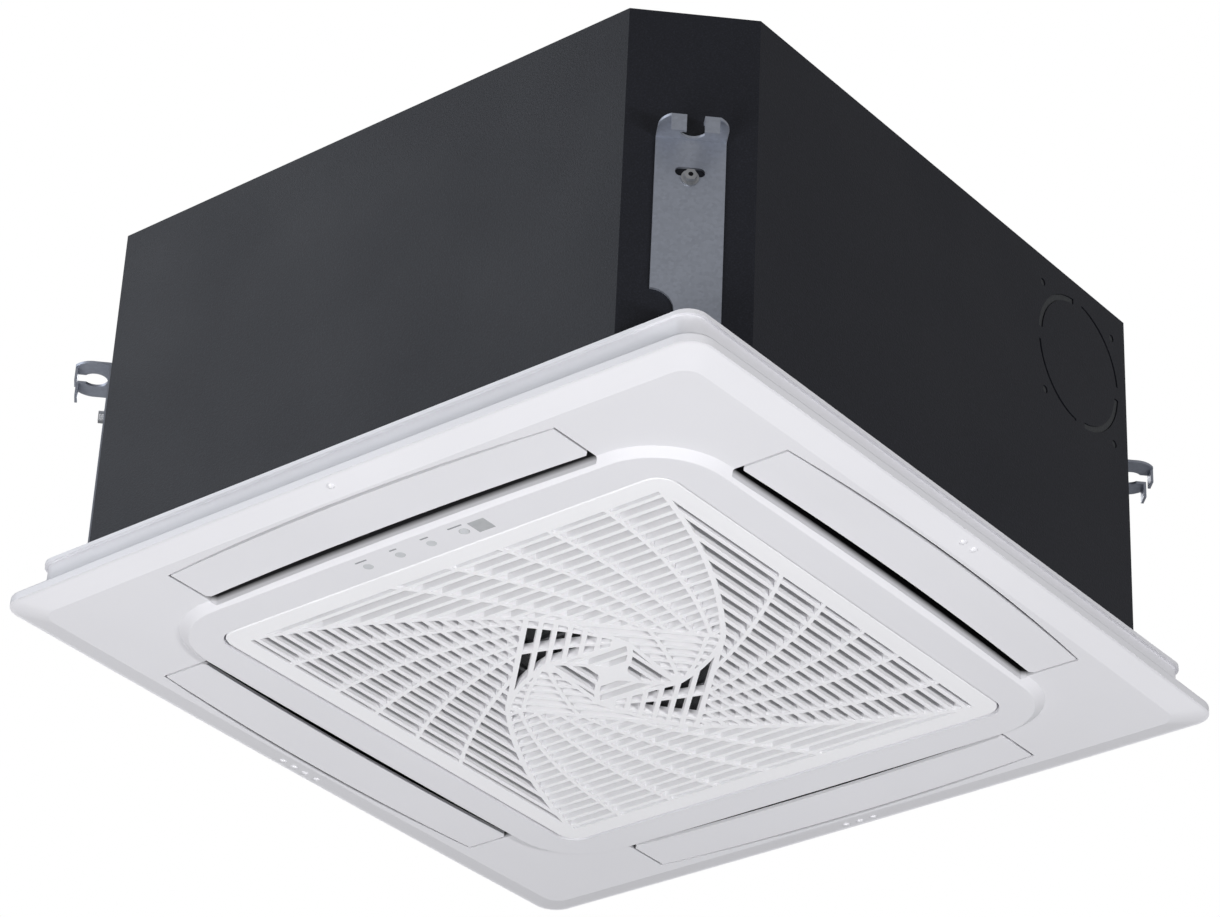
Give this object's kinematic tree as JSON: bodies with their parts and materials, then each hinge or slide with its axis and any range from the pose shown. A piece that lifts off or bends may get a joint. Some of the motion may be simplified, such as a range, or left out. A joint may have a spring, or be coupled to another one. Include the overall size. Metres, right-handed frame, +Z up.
{
  "type": "ceiling cassette air conditioner",
  "caption": "Square ceiling cassette air conditioner: dark casing with corner hangers over a white fascia with tilting louvres and a hinged whirl-pattern intake grille.",
  "frame": {"origin": "centre of the bounding box at the level of the fascia's flat middle frame, the lowest face", "axes": "+Z up towards the ceiling void; -Y towards the side with the display strip; +X towards the side with the round knock-out"},
  "size_m": [0.6256, 0.6256, 0.309],
  "materials": {
    "panel_white": "satin",
    "moulded_white": "matt",
    "casing_paint": "fine textured satin",
    "galvanised": "galvanised",
    "zinc_steel": "zinc plated",
    "foam": "matt foam",
    "dark_foam": "matt foam",
    "mesh_grey": "matt",
    "fins": "bare",
    "copper": "bare copper",
    "brass": "bare",
    "dark_plastic": "matt",
    "motor_steel": "plated",
    "black_rubber": "matt",
    "board_green": "satin",
    "tinted_window": "gloss"
  },
  "bodies": {
    "unit": {"fascia_panel": "panel_white", "pivot_bushes": "moulded_white", "drain_socket": "moulded_white", "casing_shell": "casing_paint", "pipe_plate": "casing_paint", "hanger_bracket_1": "galvanised", "hanger_bracket_2": "galvanised", "hanger_bracket_3": "galvanised", "hanger_bracket_4": "galvanised", "coil_end_plates": "galvanised", "control_box": "galvanised", "control_box_cover": "galvanised", "hanger_screws": "zinc_steel", "panel_screws": "zinc_steel", "hinge_pins": "zinc_steel", "motor_bolts": "zinc_steel", "louvre_motor_1": "zinc_steel", "louvre_motor_2": "zinc_steel", "louvre_motor_3": "zinc_steel", "louvre_motor_4": "zinc_steel", "drain_pan": "foam", "foam_liner": "dark_foam", "intake_seal": "dark_foam", "coil_fins": "fins", "coil_return_bends": "copper", "liquid_pipe": "copper", "gas_pipe": "copper", "flare_nuts": "brass", "bell_mouth": "dark_plastic", "drain_pump": "dark_plastic", "float_switch": "dark_plastic", "terminal_block": "dark_plastic", "fan_capacitor": "dark_plastic", "fan_motor": "motor_steel", "wiring_grommet": "black_rubber", "drain_plug": "black_rubber", "motor_mounts": "black_rubber", "drain_hose": "black_rubber", "display_board": "board_green", "control_board": "board_green", "display_window": "tinted_window", "lamp_lenses": "tinted_window"},
    "fan": {"fan_impeller": "dark_plastic", "motor_shaft": "zinc_steel", "fan_nut": "zinc_steel"},
    "grille": {"intake_grille": "panel_white", "filter_frame": "moulded_white", "filter_mesh": "mesh_grey"},
    "latch_1": {"grille_latch_1": "panel_white"},
    "latch_2": {"grille_latch_2": "panel_white"},
    "button": {"manual_button": "panel_white"},
    "float": {"float": "dark_plastic"},
    "louvre_1": {"louvre_1": "panel_white", "louvre_shaft_1": "moulded_white"},
    "louvre_2": {"louvre_2": "panel_white", "louvre_shaft_2": "moulded_white"},
    "louvre_3": {"louvre_3": "panel_white", "louvre_shaft_3": "moulded_white"},
    "louvre_4": {"louvre_4": "panel_white", "louvre_shaft_4": "moulded_white"}
  },
  "joints": [
    {"name": "louvre_1_tilt", "type": "hinge", "parent": "unit", "child": "louvre_1", "pos_m": [0, -0.256, 0.012], "axis": [1, 0, 0], "range_deg": [0, 50]},
    {"name": "louvre_2_tilt", "type": "hinge", "parent": "unit", "child": "louvre_2", "pos_m": [0.256, 0, 0.012], "axis": [0, 1, 0], "range_deg": [0, 50]},
    {"name": "louvre_3_tilt", "type": "hinge", "parent": "unit", "child": "louvre_3", "pos_m": [0, 0.256, 0.012], "axis": [-1, 0, 0], "range_deg": [0, 50]},
    {"name": "louvre_4_tilt", "type": "hinge", "parent": "unit", "child": "louvre_4", "pos_m": [-0.256, 0, 0.012], "axis": [0, -1, 0], "range_deg": [0, 50]},
    {"name": "grille_swing", "type": "hinge", "parent": "unit", "child": "grille", "pos_m": [0, 0.1865, 0.0062], "axis": [1, 0, 0], "range_deg": [0, 85]},
    {"name": "latch_1_slide", "type": "slide", "parent": "grille", "child": "latch_1", "axis": [0, 1, 0], "range_m": [0, 0.004], "stiffness_N_per_m": 400, "springref_m": -0.003},
    {"name": "latch_2_slide", "type": "slide", "parent": "grille", "child": "latch_2", "axis": [0, 1, 0], "range_m": [0, 0.004], "stiffness_N_per_m": 400, "springref_m": -0.003},
    {"name": "fan_spin", "type": "hinge", "parent": "unit", "child": "fan", "pos_m": [0, 0, 0.22], "axis": [0, 0, 1], "continuous": true},
    {"name": "float_rise", "type": "slide", "parent": "unit", "child": "float", "axis": [0, 0, 1], "range_m": [0, 0.012]},
    {"name": "button_press", "type": "slide", "parent": "unit", "child": "button", "axis": [0, 0, 1], "range_m": [0, 0.001], "stiffness_N_per_m": 1500}
  ]
}
